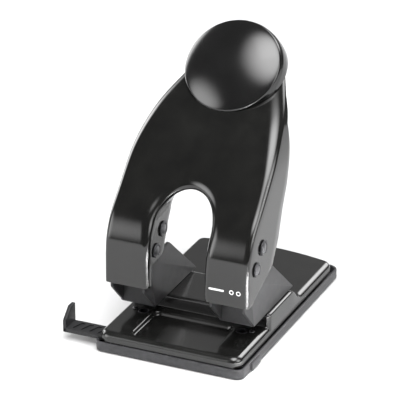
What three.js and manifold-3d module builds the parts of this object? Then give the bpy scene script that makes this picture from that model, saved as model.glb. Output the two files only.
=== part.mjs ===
// Two-hole punch with a tall palm lever, two punch towers, a stepped base and a chip tray.
// Millimetres, +Z up, +X to the right, the paper goes in towards +Y.
// Depths are written as distances back from the tray's front edge, and heights as distances
// above the tray's underside. The last group moves them to the punch's own frame, whose
// origin is on the surface that it stands on, below the middle of the tray.
import * as THREE from 'three';
import { mergeVertices } from 'three/addons/utils/BufferGeometryUtils.js';
import Module from 'manifold-3d';

const wasm = await Module();
wasm.setup();

// Clearances
const seatGap = 0.3;          // between two pieces that rest on each other
const runGap = 0.2;           // around a shaft that turns or slides
const sheetGap = 0.5;         // between the lever's sheet and the towers inside it

// Driving sizes: punching
const holeSpacing = 80;
const holeRadius = 3;
const punchBack = 46;         // punch line behind the tray's front
const marginToHole = 12;      // paper edge to hole centre
const pressAngle = 45;        // lever travel, degrees
const pivotBack = 30.6;
const pivotHeight = 75.7;
const driveBack = 42.4;
const driveHeight = 88.3;
const axleRadius = 3.5;

// Driving sizes: lever and knob
const legHalfWidth = 17.6;
const legFront = 16;
const legBottom = 50;
const leverSheet = 1.8;
const archCentre = 98;        // height of the centre of the arch between the legs
const knobRadius = 36.75;     // at the rim of its dome
const knobFlare = 2.15;       // how much wider its side wall grows behind the rim
const knobBack = 117.8;
const knobHeight = 193.7;
const knobTilt = 43.9;        // knob axis above the horizontal, degrees
const knobDome = 7;
const knobSide = 24;
const knobWall = 3;
const knobScrewRadius = 2;
const knobScrewPlaces = [-12, 12];
const sheetUnderKnob = 10.1;  // from the rim's plane down the axis to the lever's sheet

// Driving sizes: tray
const trayBeyondLegs = 2.15;  // tray side outside the lever's legs
const trayDepth = 198;
const trayHeight = 7.6;
const trayWall = 2;
const trayFloor = 1.6;
const trayCorner = 6;
const rearBow = 8;            // how far the middle of the rear edge stands behind its corners
const footProud = 0.8;
const footRadius = 7;
const footInset = 15;
const footDepth = 0.7;        // how deep a foot sits in the tray's floor
const thumbTabProud = 1.2;    // out of the tray's right side
const thumbTabFront = 17;
const thumbTabLength = 16;
const thumbTabBottom = 0.6;
const thumbTabTop = 6;
const gripPadHalfWidth = 30;
const gripPadHalfDepth = 11;

// Driving sizes: base
const baseInset = 2.7;        // base side wall inside the tray's side
const baseFront = 1.8;        // base front wall behind the tray's front
const baseRear = 7;           // base rear wall in front of the tray's rear
const baseCorner = 8;
const baseSheet = 1.8;
const deckTop = 15.5;
const deckShoulder = 5;       // radius between the deck and the walls
const platformTop = 26;
const platformShoulder = 2.2;
const platformLength = 46;
const platformRun = 13;       // length of the slope behind the platform
const panFront = 7;
const panRear = 50;
const panHalfWidth = 33;
const panCorner = 6;
const panDepth = 3;
const panSheet = 1.2;
const rivetSide = 7.5;        // deck rivets outside the punch line
const rivetShank = 1.2;

// Driving sizes: tray hinge
const hingeHeight = 9.5;
const hingeRod = 1.5;
const earRadius = 3;
const earGap = 3;
const earThickness = 3;
const rodHalf = 30;

// Driving sizes: towers and punches
const plateSheet = 2;
const spacerThickness = 1.2;
const towerScrewRadius = 2;
const webTop = 60;
const guideWallThickness = 2.4;
const guideTop = 44;
const collarTop = driveHeight - 12;
const collarThickness = 2.2;
const slotSlack = 0.9;        // lets the axle ride its arc over a head that moves evenly
const springWire = 0.7;
const springTurns = 5;

// Driving sizes: paper gauge
const railReach = 28.3;       // how far its end stands out from the tray's side
const railLength = 108;
const railFront = 6;
const railDepth = 16;
const railBottom = 6.4;
const railTop = 9.6;
const railSkin = 1.2;
const tabThickness = 2.6;
const tabTop = 24.2;
const windowPitch = 7;        // pockets in the rail's top, in a row
const windowWidth = 3.4;
const windowDepth = 0.7;
const windowInset = 3.5;      // from the rail's long edges
const windowMargin = 6;       // from its ends
const outerGuideSpan = [-48, -38];
const innerGuideSpan = [-12, 0];

// Sizes that follow
const legCentre = holeSpacing / 2;
const leverSide = legCentre + legHalfWidth;
const archSide = legCentre - legHalfWidth;
const traySide = leverSide + trayBeyondLegs;
const baseSide = traySide - baseInset;
const baseBottom = trayHeight + seatGap;
const baseEnd = trayDepth - baseRear;
const deckUnder = deckTop - baseSheet;
const stopBack = punchBack + marginToHole;
const platformEnd = stopBack + platformLength;
const hingeBack = baseEnd - 7;
const lugInner = rodHalf - earThickness - 1;
const towerFoot = platformTop + seatGap;
const towerHalfWidth = legHalfWidth - leverSheet - spacerThickness - 2 * seatGap;
const towerScrewBacks = [stopBack + 14, platformEnd - 10];
const punchBore = holeRadius + runGap;
const dieRadius = holeRadius + 1.6;
const guideRadius = punchBore + guideWallThickness;
const guideFlange = guideRadius + 2.4;
const springRadius = guideRadius + springWire + 0.5;
const collarRadius = springRadius + springWire + 0.7;

// ---------- solids ----------
function toSolid(geometry) {
  geometry.deleteAttribute('normal');
  geometry.deleteAttribute('uv');
  const merged = mergeVertices(geometry, 1e-4);
  return new wasm.Manifold(new wasm.Mesh({
    numProp: 3,
    vertProperties: new Float32Array(merged.attributes.position.array),
    triVerts: new Uint32Array(merged.index.array),
  }));
}

function toGeometry(solid) {
  const mesh = solid.getMesh();
  const geometry = new THREE.BufferGeometry();
  geometry.setAttribute('position', new THREE.BufferAttribute(mesh.vertProperties, 3));
  geometry.setIndex(new THREE.BufferAttribute(mesh.triVerts, 1));
  geometry.computeVertexNormals();
  return geometry;
}

const vectors = (points) => points.map(([u, v]) => new THREE.Vector2(u, v));

function extrude(shape, depth, basis, origin, curveSegments = 6) {
  const geometry = new THREE.ExtrudeGeometry(shape, { depth, bevelEnabled: false, curveSegments });
  const matrix = new THREE.Matrix4().makeBasis(...basis);
  matrix.setPosition(...origin);
  geometry.applyMatrix4(matrix);
  return toSolid(geometry);
}

const unitX = new THREE.Vector3(1, 0, 0);
const unitY = new THREE.Vector3(0, 1, 0);
const unitZ = new THREE.Vector3(0, 0, 1);

// An outline of [y, z] points, from x0 to x1
function alongX(points, x0, x1) {
  const shape = points instanceof THREE.Shape ? points : new THREE.Shape(vectors(points));
  return extrude(shape, x1 - x0, [unitY, unitZ, unitX], [x0, 0, 0]);
}

// An outline of [x, z] points, from y0 to y1
function alongY(points, y0, y1) {
  const shape = new THREE.Shape(vectors(points.map(([x, z]) => [z, x])));
  return extrude(shape, y1 - y0, [unitZ, unitX, unitY], [0, y0, 0]);
}

// An outline of [x, y] points, from z0 to z1
function alongZ(points, z0, z1) {
  const shape = points instanceof THREE.Shape ? points : new THREE.Shape(vectors(points));
  return extrude(shape, z1 - z0, [unitX, unitY, unitZ], [0, 0, z0]);
}

function box(x0, x1, y0, y1, z0, z1) {
  const geometry = new THREE.BoxGeometry(x1 - x0, y1 - y0, z1 - z0);
  geometry.translate((x0 + x1) / 2, (y0 + y1) / 2, (z0 + z1) / 2);
  return toSolid(geometry);
}

function rodX(y, z, radius, x0, x1, sides = 20) {
  const geometry = new THREE.CylinderGeometry(radius, radius, x1 - x0, sides);
  geometry.rotateZ(-Math.PI / 2);
  geometry.translate((x0 + x1) / 2, y, z);
  return toSolid(geometry);
}

function rodZ(x, y, radius, z0, z1, sides = 20) {
  const geometry = new THREE.CylinderGeometry(radius, radius, z1 - z0, sides);
  geometry.rotateX(Math.PI / 2);
  geometry.translate(x, y, (z0 + z1) / 2);
  return toSolid(geometry);
}

// A turned piece about a vertical axis, from [radius, z] points in order round its section
function turned(points, x, y, sides = 24) {
  const geometry = new THREE.LatheGeometry(vectors(points), sides);
  geometry.rotateX(Math.PI / 2);
  geometry.translate(x, y, 0);
  return toSolid(geometry);
}

const joined = (first, ...rest) => rest.reduce((sum, solid) => sum.add(solid), first);

// ---------- curves ----------
const alongSpline = (points, steps) => new THREE.SplineCurve(vectors(points)).getPoints(steps)
  .map((point) => [point.x, point.y]);

// The same open line, moved sideways to its right by a distance
function shifted(points, distance) {
  return points.map(([u, v], i) => {
    const [u0, v0] = points[Math.max(i - 1, 0)];
    const [u1, v1] = points[Math.min(i + 1, points.length - 1)];
    const length = Math.hypot(u1 - u0, v1 - v0);
    return [u + distance * (v1 - v0) / length, v - distance * (u1 - u0) / length];
  });
}

// Points round an arc, its angles in quarter turns
function arcPoints(u, v, radius, start, end, steps = 3) {
  const points = [];
  for (let i = 0; i <= steps; i += 1) {
    const angle = (start + ((end - start) * i) / steps) * (Math.PI / 2);
    points.push([u + radius * Math.cos(angle), v + radius * Math.sin(angle)]);
  }
  return points;
}

// Plan of the tray or the base: rounded corners and a rear edge that bows out
function bowedPlan(halfWidth, front, rear, corner, rearCorner) {
  const side = rear - rearBow;
  const arcRadius = (halfWidth ** 2 + rearBow ** 2) / (2 * rearBow);
  const rearAt = (x) => rear - arcRadius + Math.sqrt(arcRadius ** 2 - x ** 2);
  const bowX = halfWidth - rearCorner;
  const shape = new THREE.Shape();
  shape.moveTo(-halfWidth + corner, front);
  shape.lineTo(halfWidth - corner, front);
  shape.absarc(halfWidth - corner, front + corner, corner, -Math.PI / 2, 0);
  shape.lineTo(halfWidth, side - rearCorner);
  shape.quadraticCurveTo(halfWidth, side, bowX, rearAt(bowX));
  const bowSteps = 8;
  for (let i = 1; i < bowSteps; i += 1) {
    const x = bowX - (2 * bowX * i) / bowSteps;
    shape.lineTo(x, rearAt(x));
  }
  shape.lineTo(-bowX, rearAt(bowX));
  shape.quadraticCurveTo(-halfWidth, side, -halfWidth, side - rearCorner);
  shape.lineTo(-halfWidth, front + corner);
  shape.absarc(-halfWidth + corner, front + corner, corner, Math.PI, 1.5 * Math.PI);
  return shape;
}

function roundedPlan(x0, x1, y0, y1, radius) {
  const shape = new THREE.Shape();
  shape.moveTo(x0 + radius, y0);
  shape.lineTo(x1 - radius, y0);
  shape.absarc(x1 - radius, y0 + radius, radius, -Math.PI / 2, 0);
  shape.lineTo(x1, y1 - radius);
  shape.absarc(x1 - radius, y1 - radius, radius, 0, Math.PI / 2);
  shape.lineTo(x0 + radius, y1);
  shape.absarc(x0 + radius, y1 - radius, radius, Math.PI / 2, Math.PI);
  shape.lineTo(x0, y0 + radius);
  shape.absarc(x0 + radius, y0 + radius, radius, Math.PI, 1.5 * Math.PI);
  return shape;
}

// ---------- colours and finishes ----------
const finish = (color, roughness, metalness) => () => (
  new THREE.MeshStandardMaterial({ color, roughness, metalness }));
const blackPaint = finish(0x141414, 0.25, 0.3);
const greyPaint = finish(0x333335, 0.45, 0.4);
const trayPlastic = finish(0x222226, 0.5, 0);
const knobPlastic = finish(0x101012, 0.15, 0);
const steel = finish(0x9a9a9c, 0.3, 0.9);
const darkSteel = finish(0x3c3c40, 0.35, 0.8);
const nylon = finish(0xd8d8d2, 0.6, 0);
const rubber = finish(0x1a1a1a, 0.9, 0);

const press = new THREE.Group();
function part(name, solid, material) {
  const mesh = new THREE.Mesh(toGeometry(solid), material());
  mesh.name = name;
  press.add(mesh);
}

// ---------- chip tray ----------
function chipTray() {
  const outside = alongZ(bowedPlan(traySide, 0, trayDepth, trayCorner, trayCorner), 0, trayHeight);
  const inside = alongZ(
    bowedPlan(traySide - trayWall, trayWall, trayDepth - trayWall, trayCorner - trayWall,
      trayCorner - trayWall),
    trayFloor, trayHeight + 1);
  let solid = outside.subtract(inside);
  solid = solid.subtract(box(-traySide - 1, -traySide + trayWall + 1, railFront - seatGap,
    railFront + railDepth + seatGap, railBottom - seatGap, trayHeight + 1));
  for (const side of [-1, 1]) {
    solid = solid.add(hingeEar(side * (lugInner - earGap - earThickness / 2)));
  }
  solid = solid.subtract(rodX(hingeBack, hingeHeight, hingeRod + runGap, -rodHalf, rodHalf));
  const thumbTab = roundedPlan(traySide - 0.5, traySide + thumbTabProud, thumbTabFront,
    thumbTabFront + thumbTabLength, 0.8);
  solid = solid.add(alongZ(thumbTab, thumbTabBottom, thumbTabTop));
  for (const [x, y] of footPlaces()) {
    solid = solid.subtract(rodZ(x, y, footRadius + seatGap, -1, footDepth + seatGap));
  }
  return solid.subtract(gripPad(seatGap, -1));
}

// The pad in the middle of the underside, which the whole punch is placed from
function gripPad(grow, bottom) {
  const middle = trayDepth / 2;
  const plan = roundedPlan(-gripPadHalfWidth - grow, gripPadHalfWidth + grow,
    middle - gripPadHalfDepth - grow, middle + gripPadHalfDepth + grow, 4 + grow);
  return alongZ(plan, bottom, footDepth + grow);
}

// An ear for the hinge rod, leaning so that the base's rear wall can swing under the rod
function hingeEar(x) {
  const foot = trayFloor - 0.5;
  const post = alongX([
    [hingeBack - earRadius - 5, foot], [hingeBack - 2, foot],
    [hingeBack + earRadius * 0.86, hingeHeight - earRadius / 2],
    [hingeBack, hingeHeight], [hingeBack - earRadius, hingeHeight],
  ], x - earThickness / 2, x + earThickness / 2);
  return post.add(
    rodX(hingeBack, hingeHeight, earRadius, x - earThickness / 2, x + earThickness / 2));
}

function footPlaces() {
  const x = traySide - footInset;
  const rear = trayDepth - rearBow - footInset;
  return [[-x, footInset], [x, footInset], [-x, rear], [x, rear]];
}

// ---------- base ----------
// [x, z] section of a block of the base, with rounded shoulders
function shoulderedSection(halfWidth, top, radius, bottom) {
  const side = halfWidth - radius;
  return [[halfWidth, bottom], ...arcPoints(side, top - radius, radius, 0, 1),
    ...arcPoints(-side, top - radius, radius, 1, 2), [-halfWidth, bottom]];
}

// The base's outside, or the space within its sheet when it is inset by the sheet's thickness
function baseBlock(inset, bottom) {
  const front = baseFront + inset;
  const deck = deckTop - inset;
  const platform = platformTop - inset;
  const halfWidth = baseSide - inset;
  const shoulder = deckShoulder - inset;
  const upperShoulder = platformShoulder - inset;
  const past = trayDepth + 5;
  const deckBlock = alongX([
    ...arcPoints(front + shoulder, deck - shoulder, shoulder, 1, 2), [front, bottom],
    [past, bottom], [past, deck],
  ], -traySide, traySide).intersect(
    alongY(shoulderedSection(halfWidth, deck, shoulder, bottom), -5, past));
  const slope = Math.atan2(platformTop - deckTop, platformRun);
  const slopeShift = inset * Math.tan(slope / 2);
  const slopeEnd = platformEnd + platformRun - slopeShift;
  const platformBlock = alongX([
    [stopBack + inset, bottom], [slopeEnd, bottom], [slopeEnd, deck],
    [platformEnd - slopeShift, platform], [stopBack + inset, platform],
  ], -traySide, traySide).intersect(
    alongY(shoulderedSection(halfWidth, platform, upperShoulder, bottom), -5, past));
  const plan = bowedPlan(halfWidth, front, baseEnd - inset, baseCorner - inset, 4 - inset / 2);
  return deckBlock.add(platformBlock).intersect(alongZ(plan, bottom, platformTop + 5));
}

function basePlate() {
  let solid = baseBlock(0, baseBottom).subtract(baseBlock(baseSheet, baseBottom - 2));
  const pan = (grow, z0, z1) => alongZ(roundedPlan(-panHalfWidth - grow, panHalfWidth + grow,
    panFront - grow, panRear + grow, panCorner + grow), z0, z1);
  solid = solid.add(pan(panSheet, deckTop - panDepth - panSheet, deckUnder + 0.5));
  solid = solid.subtract(pan(0, deckTop - panDepth, deckTop + 1));
  for (const side of [-1, 1]) {
    const x = side * legCentre;
    solid = solid.subtract(rodZ(x, punchBack, dieRadius + seatGap, 5, deckTop + 1));
    const rivetX = side * (legCentre + rivetSide);
    solid = solid.subtract(rodZ(rivetX, punchBack + 1, rivetShank + seatGap, 5, deckTop + 1));
    for (const back of towerScrewBacks) {
      solid = solid.subtract(rodZ(x, back, towerScrewRadius + seatGap, 20, platformTop + 1));
    }
    const lugX = side * (lugInner + earThickness / 2);
    const lug = box(lugX - earThickness / 2, lugX + earThickness / 2, hingeBack - earRadius,
      hingeBack + earRadius, hingeHeight - earRadius + 0.5, deckUnder + 0.5);
    solid = solid.add(lug);
  }
  solid = solid.subtract(box(-baseSide - 5, -baseSide + 5, railFront - runGap,
    railFront + railDepth + runGap, 0, railTop + seatGap));
  return solid.subtract(
    rodX(hingeBack, hingeHeight, hingeRod + seatGap, -rodHalf - 1, rodHalf + 1));
}

function die(side) {
  const flangeTop = deckUnder - seatGap;
  const flangeBottom = flangeTop - 1.6;
  const flangeRadius = dieRadius + 0.9;
  return turned([
    [punchBore, flangeBottom], [flangeRadius, flangeBottom], [flangeRadius, flangeTop],
    [dieRadius, flangeTop], [dieRadius, deckTop], [punchBore, deckTop],
    [punchBore, flangeBottom],
  ], side * legCentre, punchBack);
}

function deckRivet(side) {
  const head = deckTop + seatGap;
  return turned([
    [0, deckUnder - 2], [rivetShank, deckUnder - 2], [rivetShank, head], [2.1, head],
    [1.8, head + 0.5], [1.1, head + 0.8], [0, head + 0.9],
  ], side * (legCentre + rivetSide), punchBack + 1, 16);
}

// ---------- towers ----------
const plateFront = legFront + leverSheet + sheetGap;
const chamferFoot = 35.4;     // where a side plate's front chamfer meets its foot
const chamferTop = legBottom - 4.5;
const earRound = 9;
const apexBack = platformEnd - 43;
const apexHeight = 69;
const plateEnd = platformEnd + 6;

function sidePlateOutline() {
  const shape = new THREE.Shape();
  shape.moveTo(chamferFoot, towerFoot);
  shape.lineTo(plateEnd, towerFoot);
  shape.lineTo(apexBack, apexHeight);
  shape.lineTo(pivotBack + earRound + 1, pivotHeight - 9.5);
  shape.lineTo(pivotBack + earRound, pivotHeight);
  shape.absarc(pivotBack, pivotHeight, earRound, 0, Math.PI * 0.8);
  shape.lineTo(plateFront, pivotHeight - 4);
  shape.lineTo(plateFront, chamferTop);
  return shape;
}

function tower(side) {
  const centre = side * legCentre;
  const outline = sidePlateOutline();
  const left = alongX(outline, centre - towerHalfWidth, centre - towerHalfWidth + plateSheet);
  const right = alongX(outline, centre + towerHalfWidth - plateSheet, centre + towerHalfWidth);
  const inner = towerHalfWidth - plateSheet / 2;
  const web = box(centre - inner, centre + inner, chamferFoot, chamferFoot + plateSheet,
    towerFoot, webTop);
  const floor = box(centre - inner, centre + inner, chamferFoot, plateEnd - 4,
    towerFoot, towerFoot + plateSheet);
  let solid = joined(left, right, web, floor);
  solid = solid.subtract(rodX(pivotBack, pivotHeight, axleRadius + runGap,
    centre - towerHalfWidth - 1, centre + towerHalfWidth + 1));
  solid = solid.subtract(rodZ(centre, punchBack, guideRadius + seatGap, 20, 40));
  for (const back of towerScrewBacks) {
    solid = solid.subtract(rodZ(centre, back, towerScrewRadius + seatGap, 20, 40));
  }
  return solid;
}

function towerScrew(side, back) {
  const head = towerFoot + plateSheet + seatGap;
  const end = platformTop - baseSheet - 3;
  return turned([
    [0, end], [towerScrewRadius, end], [towerScrewRadius, head], [4, head],
    [3.6, head + 1.6], [2.2, head + 2.4], [0, head + 2.6],
  ], side * legCentre, back, 16);
}

const guideSeat = towerFoot + plateSheet + seatGap;
const guideFlangeTop = guideSeat + 1.6;

function punchGuide(side) {
  const end = towerFoot - 1.2;
  return turned([
    [punchBore, end], [guideRadius, end], [guideRadius, guideSeat],
    [guideFlange, guideSeat], [guideFlange, guideFlangeTop], [guideRadius, guideFlangeTop],
    [guideRadius, guideTop], [punchBore, guideTop], [punchBore, end],
  ], side * legCentre, punchBack, 20);
}

// ---------- punches ----------
const leverArm = Math.hypot(driveBack - pivotBack, driveHeight - pivotHeight);
const restAngle = Math.atan2(driveHeight - pivotHeight, driveBack - pivotBack);
const pressedAngle = restAngle - THREE.MathUtils.degToRad(pressAngle);
const pressedBack = pivotBack + leverArm * Math.cos(pressedAngle);
const headHalfDepth = 10.5;
const headHalfWidth = 4;
const headWall = 4.2;
const punchTip = towerFoot - 1.4;

function punch(side) {
  const centre = side * legCentre;
  const headBottom = driveHeight - axleRadius - seatGap - headWall;
  const headTop = driveHeight + axleRadius + slotSlack + headWall;
  const shank = turned([
    [0, punchTip + 1.2], [holeRadius, punchTip], [holeRadius, collarTop - collarThickness],
    [collarRadius, collarTop - collarThickness], [collarRadius, collarTop], [3.4, collarTop],
    [3.4, headBottom + 1], [0, headBottom + 1],
  ], centre, punchBack, 20);
  const head = box(centre - headHalfWidth, centre + headHalfWidth, punchBack - headHalfDepth,
    punchBack + headHalfDepth, headBottom, headTop);
  const slot = box(centre - headHalfWidth - 1, centre + headHalfWidth + 1,
    driveBack - axleRadius - 2 * runGap, pressedBack + axleRadius + 2 * runGap,
    driveHeight - axleRadius - seatGap, driveHeight + axleRadius + slotSlack);
  return shank.add(head).subtract(slot);
}

class Helix extends THREE.Curve {
  constructor(centre, radius, bottom, top, turns) {
    super();
    Object.assign(this, { centre, radius, bottom, top, turns });
  }

  getPoint(t, target = new THREE.Vector3()) {
    const angle = t * this.turns * 2 * Math.PI;
    return target.set(
      this.centre.x + this.radius * Math.cos(angle),
      this.centre.y + this.radius * Math.sin(angle),
      THREE.MathUtils.lerp(this.bottom, this.top, t));
  }
}

function returnSpring(side) {
  const stepsPerTurn = 10;
  const bottom = guideFlangeTop + seatGap + springWire;
  const top = collarTop - collarThickness - seatGap - springWire;
  const centre = new THREE.Vector2(side * legCentre, punchBack);
  const section = new THREE.Shape();
  section.absarc(0, 0, springWire, 0, 2 * Math.PI);
  const geometry = new THREE.ExtrudeGeometry(section, {
    steps: springTurns * stepsPerTurn,
    curveSegments: 3,
    extrudePath: new Helix(centre, springRadius, bottom, top, springTurns),
  });
  return toSolid(geometry);
}

// ---------- lever ----------
// The lever's front line from the foot of a leg to its top end, as [y, z]
const frontLine = [
  [legFront, legBottom - 14],
  ...alongSpline([
    [legFront, legBottom], [legFront + 0.3, 78], [19.5, 91.5], [27, 104.5], [39.9, 118],
    [61.8, 142], [82, 159.4], [100, 171.6], [117, 182], [135, 192.6], [153, 203],
  ], 28),
  [175, 215.7],
];

// The free rear edge of its side flanges, from the top end back down
const flangeLine = [
  [179, 209],
  ...alongSpline([[157, 199], [136, 187.5], [118, 176], [101.5, 162], [92.7, 141.5],
    [86.5, 121], [78.5, 104], [71.5, 84], [60.6, 65.6]], 16),
  [24, legBottom + 1],
  [24, legBottom - 14],
];

// Half of its front outline from the foot up to the middle of its top end, as [x, z]
function leverOutline(inset) {
  const half = alongSpline([
    [leverSide, 126], [leverSide - 0.6, 141], [leverSide - 3.6, 155], [48.6, 168], [38.8, 182],
    [31.5, 190.5], [21, 198.5], [9, 202.8], [0.01, 203.5],
  ], 20);
  const line = shifted([[leverSide, legBottom - 20], [leverSide, 100], ...half], -inset);
  const right = line.filter(([x]) => x > 0);
  const left = right.map(([x, z]) => [-x, z]).reverse();
  const arch = [];
  const archSteps = 16;
  for (let i = 0; i <= archSteps; i += 1) {
    const angle = Math.PI * (1 - i / archSteps);
    arch.push([(archSide + inset) * Math.cos(angle),
      archCentre + (archSide + inset) * Math.sin(angle)]);
  }
  const foot = legBottom - 20;
  return [...right, ...left, [-archSide - inset, foot], ...arch, [archSide + inset, foot]];
}

function leverOutside(grow = 0) {
  const front = grow ? shifted(frontLine, -grow) : frontLine;
  const span = alongX([...front, ...flangeLine], -leverSide - 5, leverSide + 5);
  const below = box(-80, 80, -20, 250, legBottom - 40, legBottom);
  return span.intersect(alongY(leverOutline(0), -20, 250)).subtract(below);
}

// Everything behind this line is cut from the flanges round the arch
const archFlangeLine = [
  [22, legBottom - 14], [22, 66.5], [41, 68.2], [44.4, 71], [46.2, 77.3], [51.7, 90], [57, 99], [57.5, 107],
  [55, 115], [53.5, archCentre + archSide + leverSheet + 2],
  [120, archCentre + archSide + leverSheet + 2], [120, legBottom - 14],
];

function lever() {
  const insideFront = shifted(frontLine, leverSheet);
  const inside = alongX([...insideFront, [300, 260], [300, 0], [insideFront[0][0], 0]],
    -leverSide - 5, leverSide + 5).intersect(alongY(leverOutline(leverSheet), -20, 320));
  let solid = leverOutside().subtract(inside);
  solid = solid.subtract(alongX(archFlangeLine, -archSide - 5, archSide + 5));
  for (const [y, z] of [[pivotBack, pivotHeight], [driveBack, driveHeight]]) {
    solid = solid.subtract(rodX(y, z, axleRadius + runGap, -leverSide - 5, leverSide + 5));
  }
  for (const x of knobScrewPlaces) {
    solid = solid.subtract(knobRod(x, knobScrewRadius + seatGap, -50, 5));
  }
  return solid;
}

// ---------- knob ----------
const knobBoss = 6;
const tilt = THREE.MathUtils.degToRad(knobTilt);

// Places a solid made about +Z onto the knob's axis, with the rim plane at height 0
function ontoKnob(geometry) {
  geometry.rotateX(Math.PI / 2 - tilt);
  geometry.translate(0, knobBack, knobHeight);
  return toSolid(geometry);
}

function knobTurned(points, sides = 48) {
  const geometry = new THREE.LatheGeometry(vectors(points), sides);
  geometry.rotateX(Math.PI / 2);
  return ontoKnob(geometry);
}

function knobRod(x, radius, z0, z1) {
  const geometry = new THREE.CylinderGeometry(radius, radius, z1 - z0, 16);
  geometry.rotateX(Math.PI / 2);
  geometry.translate(x, 0, (z0 + z1) / 2);
  return ontoKnob(geometry);
}

// Quarter-ellipse dome from the rim to the axis
function domeLine(radius, height, drop) {
  const line = [];
  const domeSteps = 7;
  for (let i = 0; i <= domeSteps; i += 1) {
    const angle = (i / domeSteps) * Math.PI / 2;
    line.push([radius * Math.cos(angle), drop + height * Math.sin(angle) ** 1.4]);
  }
  line[line.length - 1][0] = 0;
  return line;
}

function knob() {
  const wide = knobRadius + knobFlare;
  const outside = knobTurned([
    [0, -knobSide], [wide, -knobSide], [wide, -9], [wide - 0.7, -4],
    ...domeLine(knobRadius, knobDome, 0)]);
  const inside = knobTurned([
    [0, -knobSide - 1], [wide - knobWall, -knobSide - 1], [wide - knobWall, -9],
    ...domeLine(knobRadius - knobWall, knobDome - 0.5, -knobWall)]);
  let solid = outside.subtract(inside);
  for (const x of knobScrewPlaces) {
    solid = solid.add(knobRod(x, knobBoss, -knobSide, knobDome - knobWall));
  }
  for (const x of knobScrewPlaces) {
    solid = solid.subtract(knobRod(x, knobScrewRadius + runGap, -knobSide - 1, -knobWall - 2));
  }
  const seat = shifted(frontLine, -seatGap);
  return solid.subtract(alongX([...seat, [300, 260], [300, 0], [0, 0]], -80, 80));
}

function knobScrew(x) {
  const head = -sheetUnderKnob - leverSheet * 1.1 - 1.3;
  return joined(
    knobRod(x, knobScrewRadius, head - 0.5, -knobWall - 3),
    knobRod(x, 4, head - 2.4, head));
}

// ---------- axles, clips and washers ----------
const clipThickness = 1;
const driveClipRadius = axleRadius + 2.5;
const pivotClipRadius = axleRadius + 2.1;
const spacerRadius = axleRadius + 3;
const axleProud = 1.9;        // how far an axle's end stands out of the leg
const clipStand = 0.35;

function axle(side, back, height) {
  const centre = side * legCentre;
  const half = legHalfWidth + axleProud;
  return rodX(back, height, axleRadius, centre - half, centre + half);
}

function clip(side, end, back, height, radius) {
  const x = side * legCentre + end * (legHalfWidth + clipStand);
  const x0 = Math.min(x, x + end * clipThickness);
  const ring = rodX(back, height, radius, x0, x0 + clipThickness);
  const mouth = box(x0 - 1, x0 + 2, back - 2, back + 2, height - radius - 1, height);
  return ring.subtract(
    rodX(back, height, axleRadius + runGap, x0 - 1, x0 + 2)).subtract(mouth);
}

function spacer(side, end) {
  const inner = towerHalfWidth + seatGap;
  const outer = legHalfWidth - leverSheet - seatGap;
  const ends = [side * legCentre + end * inner, side * legCentre + end * outer];
  const x0 = Math.min(...ends);
  const x1 = Math.max(...ends);
  return rodX(pivotBack, pivotHeight, spacerRadius, x0, x1).subtract(
    rodX(pivotBack, pivotHeight, axleRadius + runGap, x0 - 1, x1 + 1));
}

// ---------- paper gauge ----------
function paperGauge() {
  const end = -traySide - railReach;
  let solid = box(end + 0.5, end + railLength, railFront, railFront + railDepth,
    railBottom, railTop);
  solid = solid.subtract(box(end + tabThickness, end + railLength + 1, railFront + railSkin,
    railFront + railDepth - railSkin, railBottom - 1, railTop - railSkin));
  for (let x = end + windowMargin; x < end + railLength - windowMargin; x += windowPitch) {
    solid = solid.subtract(box(x, x + windowWidth, railFront + windowInset,
      railFront + railDepth - windowInset, railTop - windowDepth, railTop + 1));
  }
  const tab = alongX([
    [railFront, railBottom], [railFront + railDepth, railBottom],
    [railFront + railDepth, tabTop], [railFront + 9, tabTop], [railFront, tabTop - 8],
  ], end, end + tabThickness);
  return solid.add(tab);
}

// A guide for the rail: a loop of steel strip under the deck, bevelled to clear its shoulder
function gaugeGuide(x0, x1, top) {
  const wall = 1.6;
  const bevel = 2.4;
  const front = railFront - runGap - wall;
  const rear = railFront + railDepth + runGap + wall;
  const bottom = railBottom - runGap - wall;
  const outside = alongX([[front, bottom], [rear, bottom], [rear, top], [front + bevel, top],
    [front, top - bevel]], x0, x1);
  return outside.subtract(box(x0 - 1, x1 + 1, railFront - runGap,
    railFront + railDepth + runGap, railBottom - runGap, railTop + runGap));
}

// ---------- assembly ----------
part('chip_tray', chipTray(), trayPlastic);
footPlaces().forEach(([x, y], i) => {
  part(`foot_${i + 1}`, rodZ(x, y, footRadius, -footProud, footDepth), rubber);
});
part('grip_pad', gripPad(0, -footProud), rubber);
part('tray_hinge_rod', rodX(hingeBack, hingeHeight, hingeRod, -rodHalf, rodHalf, 16), steel);
part('base_plate', basePlate(), blackPaint);

for (const [word, side] of [['left', -1], ['right', 1]]) {
  part(`die_${word}`, die(side), steel);
  part(`deck_rivet_${word}`, deckRivet(side), darkSteel);
  part(`tower_${word}`, tower(side), greyPaint);
  towerScrewBacks.forEach((back, i) => {
    part(`tower_screw_${word}_${i + 1}`, towerScrew(side, back), darkSteel);
  });
  part(`punch_guide_${word}`, punchGuide(side), steel);
  part(`punch_${word}`, punch(side), steel);
  part(`return_spring_${word}`, returnSpring(side), steel);
  part(`pivot_axle_${word}`, axle(side, pivotBack, pivotHeight), darkSteel);
  part(`drive_axle_${word}`, axle(side, driveBack, driveHeight), darkSteel);
  for (const [place, end] of [['inner', -side], ['outer', side]]) {
    part(`pivot_clip_${word}_${place}`,
      clip(side, end, pivotBack, pivotHeight, pivotClipRadius), darkSteel);
    part(`drive_clip_${word}_${place}`,
      clip(side, end, driveBack, driveHeight, driveClipRadius), darkSteel);
    part(`spacer_${word}_${place}`, spacer(side, end), nylon);
  }
}

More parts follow.
